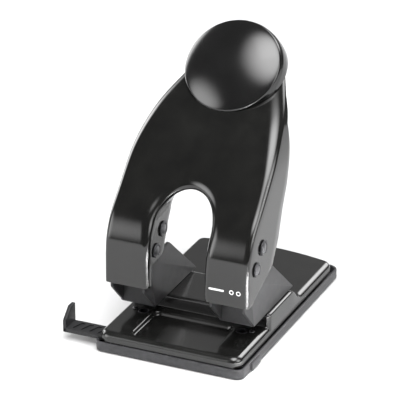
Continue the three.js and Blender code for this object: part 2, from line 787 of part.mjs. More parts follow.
part('lever', lever(), blackPaint);
part('knob', knob(), knobPlastic);
knobScrewPlaces.forEach((x, i) => part(`knob_screw_${i + 1}`, knobScrew(x), darkSteel));
part('paper_gauge', paperGauge(), trayPlastic);
part('gauge_guide_outer', gaugeGuide(...outerGuideSpan, deckUnder - seatGap), steel);
part('gauge_guide_inner',
  gaugeGuide(...innerGuideSpan, deckTop - panDepth - panSheet - seatGap), steel);

const group = new THREE.Group();
press.position.set(0, -trayDepth / 2, footProud);
group.add(press);
export default group;
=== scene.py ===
import math

import bmesh
import bpy
import numpy as np
from mathutils import Matrix, Vector


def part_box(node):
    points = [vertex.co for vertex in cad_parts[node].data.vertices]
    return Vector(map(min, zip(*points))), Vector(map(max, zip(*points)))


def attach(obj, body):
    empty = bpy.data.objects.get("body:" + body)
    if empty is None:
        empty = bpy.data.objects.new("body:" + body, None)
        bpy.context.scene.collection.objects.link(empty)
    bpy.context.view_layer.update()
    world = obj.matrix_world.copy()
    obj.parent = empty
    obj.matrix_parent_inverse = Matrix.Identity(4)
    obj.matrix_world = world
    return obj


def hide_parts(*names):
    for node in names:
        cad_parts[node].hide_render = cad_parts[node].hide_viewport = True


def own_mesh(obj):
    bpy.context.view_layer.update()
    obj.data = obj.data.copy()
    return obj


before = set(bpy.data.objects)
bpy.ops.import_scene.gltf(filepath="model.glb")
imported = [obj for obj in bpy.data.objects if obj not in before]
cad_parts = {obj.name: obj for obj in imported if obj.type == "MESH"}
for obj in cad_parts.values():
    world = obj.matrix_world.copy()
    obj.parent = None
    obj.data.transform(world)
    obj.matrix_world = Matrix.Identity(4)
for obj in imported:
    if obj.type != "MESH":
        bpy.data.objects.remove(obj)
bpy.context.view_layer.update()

# Sizes are in millimetres: X to the right, depth back from the tray's front edge, and height
# above the tray's underside. metres() moves them to the frame that every body shares.
MM = 0.001
TRAY_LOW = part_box("chip_tray")[0]
FRONT, UNDER = TRAY_LOW.y, TRAY_LOW.z
WELD, SLIVER = 2e-6, 1e-6  # metres: vertices closer than this are one, edges shorter go

# Lever and knob
LEG_CENTRE, LEG_HALF = 40, 17.6
LEVER_SIDE, ARCH_SIDE = LEG_CENTRE + LEG_HALF, LEG_CENTRE - LEG_HALF
LEG_BOTTOM, ARCH_CENTRE, LEVER_SHEET = 50, 98, 1.8
FRONT_LINE = [(16, 50), (16.3, 78), (19.5, 91.5), (27, 104.5), (39.9, 118), (61.8, 142),
              (82, 159.4), (100, 171.6), (117, 182), (135, 192.6), (153, 203)]
LEVER_TOP, LINE_END = (175, 215.7), (216.6, 240)
LINE_LOW, LINE_STEP, LINE_BLUR = 20, 0.25, 2.5
# [depth, height] of the rear edge of the flanges, and [radius, height] of the folds
OUTER_FLANGE = [(24, 50), (24, 51), (60.6, 65.6), (71.5, 84), (78.5, 104), (86.5, 121),
                (92.7, 141.5), (101.5, 162), (118, 176), (136, 187.5), (157, 199), (179, 209)]
INNER_FLANGE = [(22, 50), (22, 66.5), (41, 68.2), (44.4, 71), (46.2, 77.3), (51.7, 90),
                (57, 99), (57.5, 107), (55, 115), (53.5, 124.2)]
INNER_FOLD = [(3, 50), (3.6, 70), (5, 84), (7, 97), (10, 120.4)]
OUTER_FOLD = [(2.6, 50), (3, 70), (4, 100), (5.5, 130), (7.5, 160), (8.5, 190), (8.5, 204)]
FLANGE_LEAST, LEVER_BEVEL, OUTLINE_LOW = 1.5, 0.3, 112
OUTLINE = [(57.6, 126), (57, 141), (54, 155), (48.6, 168), (38.8, 182), (31.5, 190.5),
           (21, 198.5), (9, 202.8), (0, 203.5)]
PIVOT, DRIVE, AXLE_RADIUS, AXLE_HOLE = (30.6, 75.7), (42.4, 88.3), 3.5, 3.7
AXLE_PROUD, GROOVE_RADIUS, CLIP_THICK, CLIP_GAP = 1.9, 3.0, 1, 0.35
CLIP_OUTER, CLIP_INNER = (-62, 242), (238, -58)  # degrees, where the open ring ends
SCREW_HOLE, RUNNING_GAP = 2.3, 0.3
KNOB_RIM, KNOB_CENTRE, KNOB_TILT, KNOB_SCREWS = 36.75, (117.8, 193.7), 43.9, (-12, 12)
MARK_DEPTH, MARK_MIDDLE, MARK_RINGS, MARK_RING = (15.9, 16.1), 61.5, (44.5, 50), (1.1, 1.8)
MARK_BAR = [(26.5, 60.7), (38.5, 60.7), (38.5, 62.3), (26.5, 62.3)]

# Tray and base
TRAY_SIDE, TRAY_DEPTH, TRAY_HEIGHT, TRAY_WALL, TRAY_FLOOR = 59.75, 198, 7.6, 2, 1.6
REAR_BOW, BOW_START, BOW_RUN = 8, 125, 60
PAD_SIDE, PAD_FRONT, PAD_REAR, FOOT_RADIUS, FOOT_INSET, PAD_GAP = 30, 88, 110, 7, 15, 0.3
SOLE, SOLE_TOP = -0.8, 0.7  # the rubber's underside, and how far it stands into the tray
BASE_SIDE, BASE_FRONT, BASE_END, BASE_BOTTOM, BASE_SHEET = 57.05, 1.8, 191, 7.9, 1.8
DECK, PLATFORM, STOP, PLATFORM_END, SLOPE_RUN = 15.5, 26, 58, 104, 13
PAN_SIDE, PAN_FRONT, PAN_REAR, PAN_CORNER, PAN_DEPTH = 33, 7, 50, 6, 3
PAN_EDGE_OUT, PAN_EDGE_RUN, PAN_THINNING = 0.8, 2.3, 0.64
HINGE, HINGE_ROD, LUG_X, EAR_X, EAR_HALF, EAR_RADIUS = (184, 9.5), 1.5, 27.5, 21.5, 1.5, 3
HINGE_HALF, HINGE_CUT = 30, 31
PUNCH_LINE, PUNCH_RADIUS, DIE_RADIUS, RIVET, RIVET_HOLE = 46, 3, 4.6, (47.5, 47), 1.5
TOWER_FOOT, TOWER_HALF, PLATE, SCREW_BACKS = 26.3, 14, 2, (72, 94)
TOWER_HEAD, GUIDE_HOLE, BORE = 9, 5.9, 3.2
RAIL_END, RAIL_LENGTH, WINDOW_DEPTH = -88.05, 108, 0.7
RAIL_FRONT, RAIL_DEPTH, RAIL_BOTTOM, RAIL_TOP, RAIL_SKIN = 6, 16, 6.4, 9.6, 1.2

AXIS_Z = (Vector((1, 0, 0)), Vector((0, 1, 0)), Vector((0, 0, 1)))
AXIS_X = (Vector((0, 1, 0)), Vector((0, 0, 1)), Vector((1, 0, 0)))
AXIS_Y = (Vector((1, 0, 0)), Vector((0, 0, 1)), Vector((0, 1, 0)))
KNOB_ANGLE = math.radians(KNOB_TILT)
AXIS_KNOB = (Vector((1, 0, 0)),
             Vector((0, math.sin(KNOB_ANGLE), math.cos(KNOB_ANGLE))),
             Vector((0, -math.cos(KNOB_ANGLE), math.sin(KNOB_ANGLE))))


# ---------- meshes ----------
def metres(points):
    """Points in millimetres, as metres in the shared frame."""
    placed = np.array(points, float) * MM
    placed[:, 1] += FRONT
    placed[:, 2] += UNDER
    return placed


def new_piece(name, points, faces, closed=True):
    mesh = bpy.data.meshes.new(name)
    mesh.from_pydata(metres(points).tolist(), [], faces)
    bm = bmesh.new()
    bm.from_mesh(mesh)
    bmesh.ops.remove_doubles(bm, verts=bm.verts, dist=WELD)
    bmesh.ops.dissolve_degenerate(bm, edges=bm.edges, dist=SLIVER)
    if closed:
        bmesh.ops.recalc_face_normals(bm, faces=bm.faces)
    bm.to_mesh(mesh)
    bm.free()
    obj = bpy.data.objects.new(name, mesh)
    bpy.context.scene.collection.objects.link(obj)
    return obj


def applied(obj, kind, **settings):
    """Adds a modifier with these settings and makes its result the object's own mesh."""
    modifier = obj.modifiers.new(kind.lower(), kind)
    for key, value in settings.items():
        setattr(modifier, key, value)
    bpy.context.view_layer.update()
    graph = bpy.context.evaluated_depsgraph_get()
    mesh = bpy.data.meshes.new_from_object(obj.evaluated_get(graph))
    obj.modifiers.clear()
    old, obj.data = obj.data, mesh
    bpy.data.meshes.remove(old)
    return obj


def combine(obj, other, operation):
    applied(obj, "BOOLEAN", object=other, operation=operation, solver="EXACT")
    bpy.data.objects.remove(other)
    return obj


def cut(obj, other):
    return combine(obj, other, "DIFFERENCE")


def union(obj, *others):
    for other in others:
        combine(obj, other, "UNION")
    return obj


def bevelled(obj, width, segments=2, angle=40):
    return applied(obj, "BEVEL", width=width * MM, segments=segments, limit_method="ANGLE",
                   angle_limit=math.radians(angle), use_clamp_overlap=True)


def rounded(points, radius, closed=True, steps=4):
    """The same outline with its corners rounded; radius is one number, or one per corner."""
    line = [np.array(p, float) for p in points]
    share_of_edge = 0.45
    result = []
    for i, corner in enumerate(line):
        size = radius[i] if isinstance(radius, (list, tuple)) else radius
        if size <= 0 or (not closed and i in (0, len(line) - 1)):
            result.append(tuple(corner))
            continue
        before, after = line[i - 1] - corner, line[(i + 1) % len(line)] - corner
        reach = min(size, share_of_edge * np.linalg.norm(before),
                    share_of_edge * np.linalg.norm(after))
        start = corner + before / np.linalg.norm(before) * reach
        end = corner + after / np.linalg.norm(after) * reach
        for k in range(steps + 1):
            t = k / steps
            point = (1 - t) ** 2 * start + 2 * t * (1 - t) * corner + t * t * end
            result.append(tuple(point))
    return result


def turned(name, profile, base, basis=AXIS_Z, sides=48):
    """A turned piece about basis[2] through base, from [radius, distance along] points."""
    across, up, axis = basis
    points, faces, count = [], [], len(profile)
    for i in range(sides):
        angle = 2 * math.pi * i / sides
        out = across * math.cos(angle) + up * math.sin(angle)
        for radius, along in profile:
            points.append(tuple(Vector(base) + out * radius + axis * along))
        j = (i + 1) % sides
        for k in range(count - 1):
            faces.append((i * count + k, i * count + k + 1, j * count + k + 1, j * count + k))
    return new_piece(name, points, faces)


def ring(profile):
    """A closed profile: the first point again at the end."""
    return list(profile) + [profile[0]]


def rod(radius, low, high, base, basis=AXIS_Z, sides=40):
    return turned("cutter", [(0, low), (radius, low), (radius, high), (0, high)], base, basis,
                  sides)


def prism(name, outline, low, high, along="x"):
    """An outline in the plane across one axis, pushed from low to high along it."""
    place = {"x": lambda a, b, c: (c, a, b), "y": lambda a, b, c: (a, c, b),
             "z": lambda a, b, c: (a, b, c)}[along]
    count = len(outline)
    points = [place(a, b, low) for a, b in outline] + [place(a, b, high) for a, b in outline]
    faces = [tuple(range(count)), tuple(range(count, 2 * count))]
    for i in range(count):
        j = (i + 1) % count
        faces.append((i, j, j + count, i + count))
    return new_piece(name, points, faces)


def block(name, x0, x1, y0, y1, z0, z1):
    return prism(name, [(x0, y0), (x1, y0), (x1, y1), (x0, y1)], z0, z1, "z")


def loft(name, rings):
    """A skin over loops with the same number of points, closed at both ends."""
    count = len(rings[0])
    points = [p for line in rings for p in line]
    faces = [tuple(range(count)), tuple(range(len(points) - count, len(points)))]
    for r in range(len(rings) - 1):
        for i in range(count):
            j = (i + 1) % count
            faces.append((r * count + i, r * count + j, (r + 1) * count + j,
                          (r + 1) * count + i))
    return new_piece(name, points, faces)


def swept(name, path, radius, sides=10):
    """A wire along a path of points, with closed flat ends."""
    points, faces = [], []
    path = [Vector(p) for p in path]
    side = Vector((0, 0, 1))
    for i, centre in enumerate(path):
        tangent = (path[min(i + 1, len(path) - 1)] - path[max(i - 1, 0)]).normalized()
        across = tangent.cross(side).normalized()
        up = across.cross(tangent).normalized()
        for k in range(sides):
            angle = 2 * math.pi * k / sides
            points.append(tuple(centre + (across * math.cos(angle) + up * math.sin(angle))
                                * radius))
    for i in range(len(path) - 1):
        for k in range(sides):
            j = (k + 1) % sides
            faces.append((i * sides + k, i * sides + j, (i + 1) * sides + j,
                          (i + 1) * sides + k))
    faces.append(tuple(range(sides)))
    faces.append(tuple(range(len(points) - sides, len(points))))
    return new_piece(name, points, faces)


def sheet_grid(name, rows, skirt=None):
    """An open sheet over rows of points, its front facing -Y or up, with an optional skirt."""
    height, width = len(rows), len(rows[0])
    points = [p for row in rows for p in row]
    faces = []
    for r in range(height - 1):
        for c in range(width - 1):
            i = r * width + c
            faces.append((i, i + 1, i + width + 1, i + width))
    if skirt is not None:
        loop = list(range(width))
        loop += [r * width + width - 1 for r in range(1, height)]
        loop += [(height - 1) * width + c for c in range(width - 2, -1, -1)]
        loop += [r * width for r in range(height - 2, 0, -1)]
        first = len(points)
        points += [(points[i][0], points[i][1], skirt) for i in loop]
        for k, i in enumerate(loop):
            n = (k + 1) % len(loop)
            faces.append((loop[n], i, first + k, first + n))
    return new_piece(name, points, faces, closed=False)


def face_outwards(obj, direction):
    """Turns an open sheet so that its faces look along direction more than against it."""
    total = sum((p.normal * p.area for p in obj.data.polygons), Vector())
    if total.dot(Vector(direction)) < 0:
        obj.data.flip_normals()
    return obj


def settle(obj, material, body, node=None, angle=35):
    """Shades a finished piece, and gives it its material, body and replaced node."""
    obj.data.shade_smooth()
    obj.data.set_sharp_from_angle(angle=math.radians(angle))
    obj.data.materials.clear()
    obj.data.materials.append(material)
    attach(obj, body)
    if node:
        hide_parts(node)
    return obj


# ---------- materials ----------
CLOUD_DETAIL, CLOUD_BAND, ROUGH_BAND = 5, (0.35, 0.68), (0.3, 0.7)
RELIEF_DETAIL, EDGE_BAND, BARE_EDGE = 3, (0.53, 0.62), (0.32, 0.32, 0.33, 1)


def surface(name, dark, light, rough, grain, bump, fine, metallic=0.0, specular=0.5,
            stretch=(1, 1, 1), wear=0.0):
    """dark and light: linear colours that a cloudy pattern runs between. rough: its two ends
    of roughness. grain: the pattern's scale per metre. bump: depth of the relief in mm, at the
    scale fine. stretch: the pattern's scale along each axis. wear: how far edges are rubbed."""
    material = bpy.data.materials.new(name)
    material.use_nodes = True
    nodes, links = material.node_tree.nodes, material.node_tree.links
    shader = nodes["Principled BSDF"]
    shader.inputs["Metallic"].default_value = metallic
    shader.inputs["Specular IOR Level"].default_value = specular
    place = nodes.new("ShaderNodeTexCoord")
    mapping = nodes.new("ShaderNodeMapping")
    mapping.inputs["Scale"].default_value = stretch
    links.new(place.outputs["Object"], mapping.inputs["Vector"])
    cloud = nodes.new("ShaderNodeTexNoise")
    cloud.inputs["Scale"].default_value = grain
    cloud.inputs["Detail"].default_value = CLOUD_DETAIL
    links.new(mapping.outputs["Vector"], cloud.inputs["Vector"])
    ramp = nodes.new("ShaderNodeValToRGB")
    ramp.color_ramp.elements[0].position = CLOUD_BAND[0]
    ramp.color_ramp.elements[0].color = (*dark, 1)
    ramp.color_ramp.elements[1].position = CLOUD_BAND[1]
    ramp.color_ramp.elements[1].color = (*light, 1)
    links.new(cloud.outputs["Fac"], ramp.inputs["Fac"])
    colour = ramp.outputs["Color"]
    if wear:
        edges = nodes.new("ShaderNodeNewGeometry")
        sharp = nodes.new("ShaderNodeMapRange")
        sharp.inputs["From Min"].default_value = EDGE_BAND[0]
        sharp.inputs["From Max"].default_value = EDGE_BAND[1]
        sharp.inputs["To Max"].default_value = wear
        links.new(edges.outputs["Pointiness"], sharp.inputs["Value"])
        mixed = nodes.new("ShaderNodeMix")
        mixed.data_type = "RGBA"
        links.new(sharp.outputs["Result"], mixed.inputs["Factor"])
        links.new(colour, mixed.inputs["A"])
        mixed.inputs["B"].default_value = BARE_EDGE
        colour = mixed.outputs["Result"]
    links.new(colour, shader.inputs["Base Color"])
    rough_range = nodes.new("ShaderNodeMapRange")
    rough_range.inputs["From Min"].default_value = ROUGH_BAND[0]
    rough_range.inputs["From Max"].default_value = ROUGH_BAND[1]
    rough_range.inputs["To Min"].default_value = rough[0]
    rough_range.inputs["To Max"].default_value = rough[1]
    links.new(cloud.outputs["Fac"], rough_range.inputs["Value"])
    links.new(rough_range.outputs["Result"], shader.inputs["Roughness"])
    relief = nodes.new("ShaderNodeTexNoise")
    relief.inputs["Scale"].default_value = fine
    relief.inputs["Detail"].default_value = RELIEF_DETAIL
    links.new(mapping.outputs["Vector"], relief.inputs["Vector"])
    bumps = nodes.new("ShaderNodeBump")
    bumps.inputs["Strength"].default_value = 1
    bumps.inputs["Distance"].default_value = bump * MM
    links.new(relief.outputs["Fac"], bumps.inputs["Height"])
    links.new(bumps.outputs["Normal"], shader.inputs["Normal"])
    return material


BLACK_PAINT = surface("black_paint", (0.0035, 0.0035, 0.0033), (0.0055, 0.0055, 0.005),
                      (0.1, 0.14), 60, 0.006, fine=420, specular=0.75)
DECK_PAINT = surface("deck_paint", (0.0045, 0.0045, 0.0043), (0.007, 0.007, 0.0066),
                     (0.14, 0.2), 60, 0.006, fine=520, specular=0.8)
GREY_PAINT = surface("grey_paint", (0.018, 0.018, 0.019), (0.026, 0.026, 0.027),
                     (0.4, 0.48), 160, 0.03, fine=900, specular=0.35, wear=0.1)
TRAY_PLASTIC = surface("tray_plastic", (0.022, 0.022, 0.024), (0.042, 0.042, 0.045),
                       (0.36, 0.46), 300, 0.06, fine=1500, specular=0.5)
GAUGE_PLASTIC = surface("gauge_plastic", (0.008, 0.008, 0.009), (0.014, 0.014, 0.015),
                        (0.34, 0.44), 240, 0.03, fine=1400, specular=0.45)
KNOB_PLASTIC = surface("knob_plastic", (0.0035, 0.0035, 0.0035), (0.005, 0.005, 0.005),
                       (0.13, 0.17), 40, 0.004, fine=300, specular=0.8)
STEEL = surface("ground_steel", (0.38, 0.38, 0.39), (0.6, 0.6, 0.61), (0.22, 0.34), 300,
                0.02, fine=1200, metallic=1, stretch=(1, 1, 0.1))
DARK_STEEL = surface("dark_steel", (0.02, 0.02, 0.023), (0.05, 0.05, 0.055), (0.28, 0.42),
                     260, 0.02, fine=1100, metallic=0.9, wear=0.5)
AXLE_STEEL = surface("axle_steel", (0.1, 0.1, 0.105), (0.2, 0.2, 0.21), (0.3, 0.42), 260,
                     0.02, fine=1100, metallic=0.9, wear=0.4)
SPRING_STEEL = surface("spring_steel", (0.2, 0.2, 0.21), (0.36, 0.36, 0.37), (0.25, 0.36),
                       400, 0.01, fine=1600, metallic=1)
NYLON = surface("nylon", (0.5, 0.49, 0.46), (0.6, 0.59, 0.56), (0.42, 0.55), 200, 0.03,
                fine=900)
RUBBER = surface("rubber", (0.012, 0.012, 0.012), (0.022, 0.022, 0.022), (0.7, 0.85), 300,
                 0.06, fine=1400, specular=0.3)
PRINT = surface("white_print", (0.7, 0.7, 0.7), (0.82, 0.82, 0.82), (0.4, 0.5), 300, 0.005,
                fine=900)


# ---------- curves ----------
def spline(points, steps):
    """A smooth line through the points, each with the mean slope of its neighbours."""
    p = np.array(points, float)
    result = []
    for t in np.linspace(0, len(p) - 1, steps):
        i = min(int(t), len(p) - 2)
        w = t - i
        p1, p2 = p[i], p[i + 1]
        p0, p3 = p[max(i - 1, 0)], p[min(i + 2, len(p) - 1)]
        v0, v1 = (p2 - p0) / 2, (p3 - p1) / 2
        result.append((2 * p1 - 2 * p2 + v0 + v1) * w ** 3
                      + (-3 * p1 + 3 * p2 - 2 * v0 - v1) * w ** 2 + v0 * w + p1)
    return np.array(result)


def blurred(values, sigma):
    """The values after a Gaussian blur; sigma is counted in steps."""
    reach = int(3 * sigma)
    kernel = np.exp(-0.5 * (np.arange(-reach, reach + 1) / sigma) ** 2)
    padded = np.pad(values, reach, mode="reflect", reflect_type="odd")
    return np.convolve(padded, kernel / kernel.sum(), mode="valid")


LINE_Z = np.arange(LINE_LOW, LINE_END[1], LINE_STEP)
LINE = np.vstack([[(FRONT_LINE[0][0], LINE_LOW)], spline(FRONT_LINE, 400), [LEVER_TOP],
                  [LINE_END]])
LINE_Y = blurred(np.interp(LINE_Z, LINE[:, 1], LINE[:, 0]), LINE_BLUR / LINE_STEP)


def front_at(z):
    """Depth of the lever's front surface at a height."""
    return float(np.interp(z, LINE_Z, LINE_Y))


def between(table, z):
    """The value at a height, from a table of [value, height]."""
    table = np.array(table, float)
    return float(np.interp(z, table[:, 1], table[:, 0]))


def smooth_step(t):
    t = min(max(t, 0.0), 1.0)
    return t * t * (3 - 2 * t)


# ---------- lever ----------
FLANGE_ROWS = (66.5, 67.1, 67.7, 68.2, 69.2, 71)
FOLD_STEPS, ACROSS_STEPS, FLANGE_STEPS, LEG_ROWS, FAN_ROWS = 9, 18, 7, 22, 44


def fold(corner, normal, radius):
    """Points round a fold of the sheet, from its flange to its front."""
    line = []
    for k in range(FOLD_STEPS + 1):
        angle = k / FOLD_STEPS * math.pi / 2
        reach, back = radius * (1 - math.cos(angle)), radius * (1 - math.sin(angle))
        x, z = corner + normal * reach
        line.append((x, front_at(z) + back, z))
    return line


def lever_row(inner, inner_normal, outer, outer_normal):
    """One line across the pressed sheet: flange, fold, front, fold, flange."""
    row = []
    small, large = between(INNER_FOLD, inner[1]), between(OUTER_FOLD, outer[1])
    fold_back = front_at(inner[1]) + small
    rear = max(between(INNER_FLANGE, inner[1]), fold_back + FLANGE_LEAST)
    for y in np.linspace(rear, fold_back, FLANGE_STEPS)[:-1]:
        row.append((inner[0], y, inner[1]))
    row += fold(inner, inner_normal, small)
    start, end = inner + inner_normal * small, outer + outer_normal * large
    for k in range(1, ACROSS_STEPS):
        x, z = start + (end - start) * k / ACROSS_STEPS
        row.append((x, front_at(z), z))
    row += fold(outer, outer_normal, large)[::-1]
    fold_back = front_at(outer[1]) + large
    rear = max(between(OUTER_FLANGE, outer[1]), fold_back + FLANGE_LEAST)
    for y in np.linspace(fold_back, rear, FLANGE_STEPS)[1:]:
        row.append((outer[0], y, outer[1]))
    return row


def make_lever():
    rows = []
    level_gap, look_aside, outline_steps = 0.5, 0.03, 160
    levels = np.linspace(LEG_BOTTOM, ARCH_CENTRE, LEG_ROWS)[:-1]
    levels = [z for z in levels if min(abs(z - f) for f in FLANGE_ROWS) > level_gap]
    for z in sorted([*levels, *FLANGE_ROWS]):
        rows.append(lever_row(np.array((ARCH_SIDE, z)), np.array((1.0, 0)),
                              np.array((LEVER_SIDE, z)), np.array((-1.0, 0))))
    outline = np.vstack([[(LEVER_SIDE, ARCH_CENTRE), (LEVER_SIDE, OUTLINE_LOW)],
                         spline(OUTLINE, outline_steps)])
    polar = np.arctan2(outline[:, 1] - ARCH_CENTRE, outline[:, 0])
    for k in range(FAN_ROWS + 1):
        angle = k / FAN_ROWS * math.pi / 2
        away = np.array((math.cos(angle), math.sin(angle)))
        inner = np.array((0, ARCH_CENTRE)) + ARCH_SIDE * away
        x = np.interp(angle, polar, outline[:, 0])
        z = np.interp(angle, polar, outline[:, 1])
        nearby = np.clip([angle - look_aside, angle + look_aside], 0, math.pi / 2)
        ends = np.interp(nearby, polar, outline[:, 0])
        tops = np.interp(nearby, polar, outline[:, 1])
        tangent = np.array((ends[1] - ends[0], tops[1] - tops[0]))
        if k == FAN_ROWS:
            tangent, away = np.array((-1.0, 0)), np.array((0, 1.0))
            inner, x = np.array((0, ARCH_CENTRE + ARCH_SIDE)), 0.0
        tangent = tangent / np.linalg.norm(tangent)
        rows.append(lever_row(inner, away, np.array((x, z)), np.array((-tangent[1], tangent[0]))))
    mirrored = [[(-x, y, z) for x, y, z in row] for row in rows[-2::-1]]
    sheet = face_outwards(sheet_grid("lever_sheet", rows + mirrored), (0, -1, 0))
    applied(sheet, "SOLIDIFY", thickness=LEVER_SHEET * MM, offset=-1, use_even_offset=True,
            use_quality_normals=True)
    bevelled(sheet, LEVER_BEVEL, 2, 60)
    for y, z in (PIVOT, DRIVE):
        cut(sheet, rod(AXLE_HOLE, -70, 70, (0, y, z), AXIS_X))
    for x in KNOB_SCREWS:
        cut(sheet, rod(SCREW_HOLE, -30, 0, (x, *KNOB_CENTRE), AXIS_KNOB, 24))
    return settle(sheet, BLACK_PAINT, "lever", "lever", 30)


def make_mark():
    """A plain printed mark on the right leg: a bar and two punched rings."""
    front, back = MARK_DEPTH
    hole, edge = MARK_RING
    bar = prism("leg_mark", rounded(MARK_BAR, 0.7), front, back, "y")
    loop = [(hole, front), (edge, front), (edge, back), (hole, back)]
    for x in MARK_RINGS:
        union(bar, turned("mark_ring", ring(loop), (x, 0, MARK_MIDDLE), AXIS_Y, 32))
    return settle(bar, PRINT, "lever")


# ---------- knob ----------
# [how far the wall stands out from the rim, depth below the rim]
KNOB_WALL = [(0, 0), (0.5, 1.2), (1.45, 4), (2.15, 9), (2.15, 30)]


def knob_wall_radius(depth, inset):
    radii = [KNOB_RIM + out for out, _ in KNOB_WALL]
    return float(np.interp(depth, [low for _, low in KNOB_WALL], radii)) - inset


def above_sheet(point, gap):
    """How far a point stands in front of the lever's sheet, less a gap, in depth."""
    slope = front_at(point[2] + 0.5) - front_at(point[2] - 0.5)
    return front_at(point[2]) - gap * math.hypot(1, slope) - point[1]


def make_knob():
    """A hollow domed cap, whose wall ends on the lever's curved front."""
    across, up, axis = AXIS_KNOB
    centre = Vector((0, *KNOB_CENTRE))
    sides, wall, dome, dome_power, dome_end = 128, 3, 7, 1.6, 0.173
    shallowest, deepest, halvings, wall_start, spacing = 0.6, 24, 28, 0.35, 1.4
    dome_line = [(KNOB_RIM * math.cos(a), dome * math.sin(a) ** dome_power)
                 for a in np.linspace(math.pi / 2, dome_end, 24)]
    dome_line += [(KNOB_RIM - 0.15, 0.12), (KNOB_RIM, -0.25)]
    inside_dome = [((KNOB_RIM - wall) * math.cos(a), (dome - 0.5) * math.sin(a) ** 1.4 - wall)
                   for a in np.linspace(0.1, math.pi / 2, 12)]
    points, faces = [], []
    for i in range(sides):
        angle = 2 * math.pi * i / sides
        out = across * math.cos(angle) + up * math.sin(angle)

        def at(radius, along):
            return centre + out * radius + axis * along

        line = [at(r, h) for r, h in dome_line]
        limits = []
        for inset in (0, wall):
            low, high = shallowest, deepest
            for _ in range(halvings):
                middle = (low + high) / 2
                spot = at(knob_wall_radius(middle, inset), -middle)
                if above_sheet(spot, RUNNING_GAP) > 0:
                    low = middle
                else:
                    high = middle
            limits.append(low)
        for t in np.linspace(0, 1, 15)[1:]:
            depth = wall_start + t ** spacing * (limits[0] - wall_start)
            line.append(at(knob_wall_radius(depth, 0), -depth))
        for t in np.linspace(1, 0, 8):
            depth = wall + t * (max(limits[1], wall + 0.5) - wall)
            line.append(at(knob_wall_radius(depth, wall), -depth))
        line += [at(r, h) for r, h in inside_dome]
        count = len(line)
        points += [tuple(p) for p in line]
        j = (i + 1) % sides
        for k in range(count - 1):
            faces.append((i * count + k, i * count + k + 1, j * count + k + 1, j * count + k))
    knob = new_piece("palm_knob", points, faces)
    settle(knob, KNOB_PLASTIC, "lever", "knob", 50)
    boss_line = ring(rounded([(2.4, -9.4), (5.6, -9.4), (6, -4.4), (2.4, -4.4)], 0.4))
    for i, x in enumerate(KNOB_SCREWS):
        boss = turned(f"knob_boss_{i + 1}", boss_line, (x, *KNOB_CENTRE), AXIS_KNOB)
        settle(boss, KNOB_PLASTIC, "lever")
    return knob


# ---------- base ----------
def rounded_distance(x, y, half, front, rear, corner_front, corner_rear):
    """Distance inwards from a plan with rounded corners; negative outside it."""
    side = half - abs(x)
    for near, corner in ((y - front, corner_front), (rear - y, corner_rear)):
        if side < corner and near < corner:
            return corner - math.hypot(corner - side, corner - near)
    return min(side, y - front, rear - y)


def plan_half(y, half, front, rear, corner_front, corner_rear):
    """Half the width of that plan at a depth y."""
    for near, corner in ((y - front, corner_front), (rear - y, corner_rear)):
        if near < corner:
            return half - corner + math.sqrt(max(corner ** 2 - (corner - near) ** 2, 0))
    return half


def bow(x, half):
    """How far the bowed rear edge has come forward at x."""
    radius = (half ** 2 + REAR_BOW ** 2) / (2 * REAR_BOW)
    return radius - math.sqrt(radius ** 2 - x ** 2)


def bow_share(y):
    """How much of the rear edge's bow a depth y has: none in front, all of it at the rear."""
    return smooth_step((y - BOW_START) / BOW_RUN)


EDGE_STEPS = [0, 0.12, 0.4, 0.85, 1.4, 2.1, 2.9, 3.8, 4.8, 5.4, 6.8]
BASE_CORNER, BASE_REAR_CORNER, DECK_ROUND, PLATFORM_ROUND, STOP_ROUND = 8, 6, 5, 2.2, 3.5


def base_path():
    """Rows along the base: [depth, height, shoulder radius, share of the stop's rounding]."""
    fine_step, blend_start, blend_run, longest, stop_fade = 0.65, 52.5, 4, 3, 9
    rows = [(BASE_FRONT + step, DECK, DECK_ROUND, 0) for step in EDGE_STEPS]
    pan_lines = [*np.arange(9.3, 14.6, fine_step), *np.linspace(16, 42, 9),
                 *np.arange(43, 52.2, fine_step), 53.2, 54.4, 55.6, 56.6]
    for y in pan_lines:
        rows.append((y, DECK, DECK_ROUND, smooth_step((y - blend_start) / blend_run)))
    corner = rounded([(50, DECK), (STOP, DECK), (STOP, PLATFORM), (PLATFORM_END, PLATFORM),
                      (PLATFORM_END + SLOPE_RUN, DECK), (160, DECK)],
                     [0, 0.8, 2.4, 5, 5, 0], closed=False, steps=6)
    corner = corner[1:-1]
    filled = [corner[0]]
    for a, b in zip(corner, corner[1:]):
        steps = max(1, math.ceil(math.dist(a, b) / longest))
        for k in range(1, steps + 1):
            filled.append((a[0] + (b[0] - a[0]) * k / steps, a[1] + (b[1] - a[1]) * k / steps))
    for y, z in filled:
        share = smooth_step((z - DECK) / (PLATFORM - DECK))
        round_off = 1 if y <= STOP + 0.01 else 1 - smooth_step((y - STOP) / stop_fade)
        rows.append((y, z, DECK_ROUND + (PLATFORM_ROUND - DECK_ROUND) * share, round_off))
    for y in np.linspace(filled[-1][0] + 3, BASE_END - 8, 16):
        rows.append((y, DECK, DECK_ROUND, 0))
    for step in EDGE_STEPS[::-1]:
        rows.append((BASE_END - step, DECK, DECK_ROUND, 0))
    return rows


def base_columns(half):
    """Where the points of one row stand across the base, closer where it curves."""
    inner = [0, 6, 12, 18, 23, 25, *np.arange(26.2, 35.6, 0.65), 36.8, 38.4, 40.2]
    reach = half - EDGE_STEPS[-1]
    last = inner[-1]
    middle = [last + (reach - last) * k / 4 for k in range(1, 4)]
    right = inner + middle + [half - step for step in EDGE_STEPS[::-1]]
    return [-x for x in right[:0:-1]] + right


